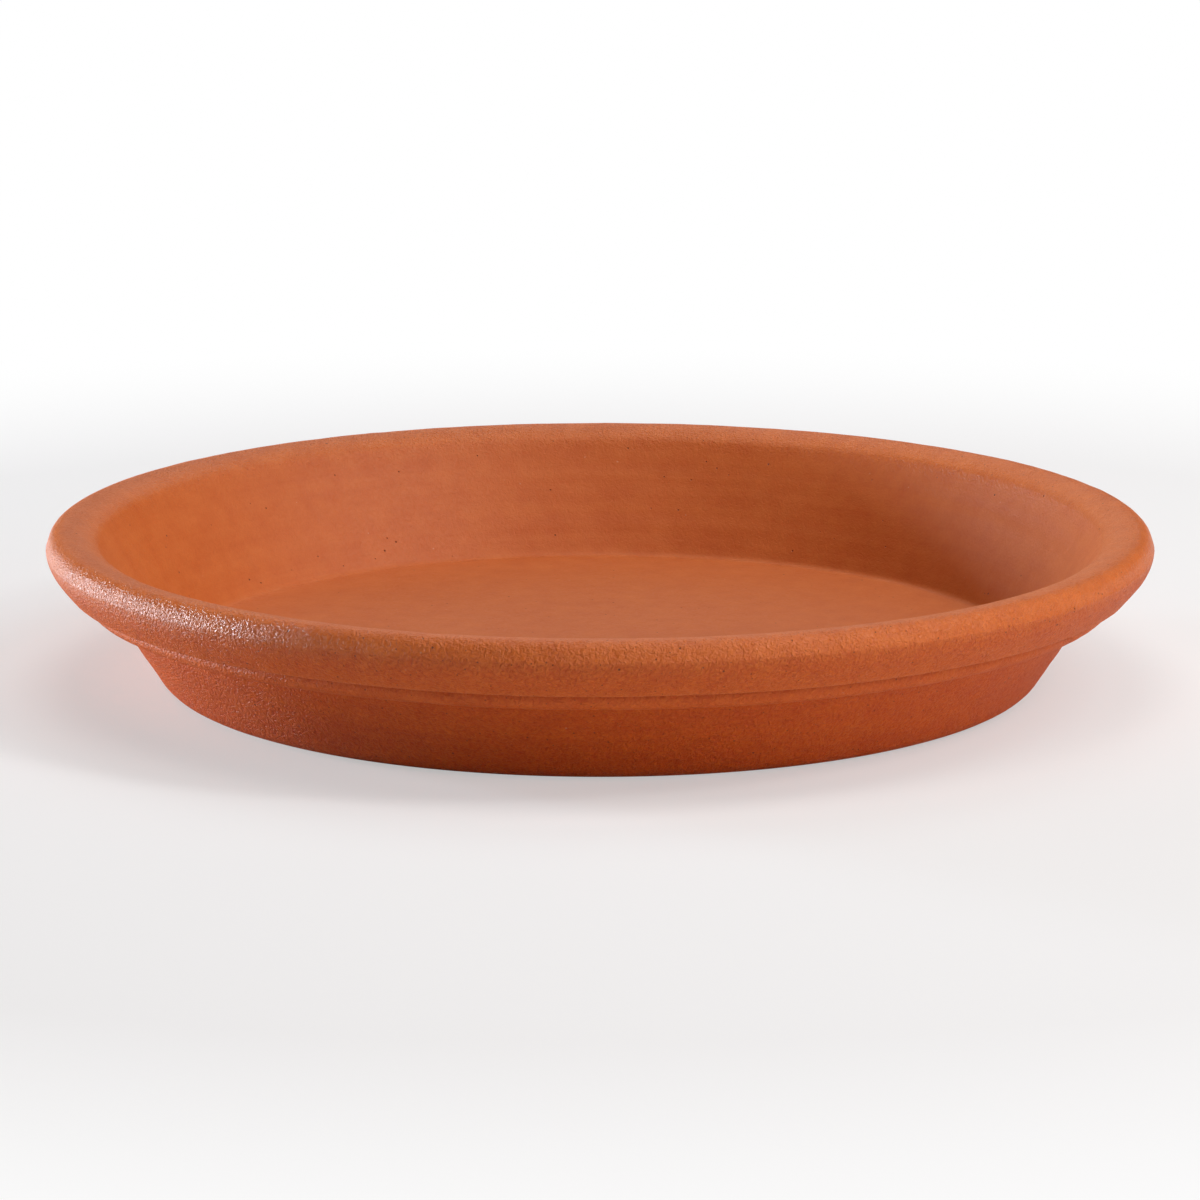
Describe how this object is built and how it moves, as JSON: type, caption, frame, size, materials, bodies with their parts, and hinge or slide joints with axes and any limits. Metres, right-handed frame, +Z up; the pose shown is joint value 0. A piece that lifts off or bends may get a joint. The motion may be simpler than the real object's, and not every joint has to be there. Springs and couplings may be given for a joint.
{
  "type": "plant saucer",
  "caption": "Round unglazed terracotta plant saucer: shallow dish with a flared wall, a narrow band and a heavy rolled rim, which stands under a pot and catches its water.",
  "frame": {"origin": "centre of the plane that the saucer stands on", "axes": "+Z up along the axis of the round section, out of the open side; X and Y lie in the standing plane"},
  "size_m": [0.305, 0.305, 0.043],
  "materials": {
    "terracotta": "unglazed fired clay, matte with a fine grain"
  },
  "bodies": {
    "root": {"saucer": "terracotta"}
  },
  "joints": []
}
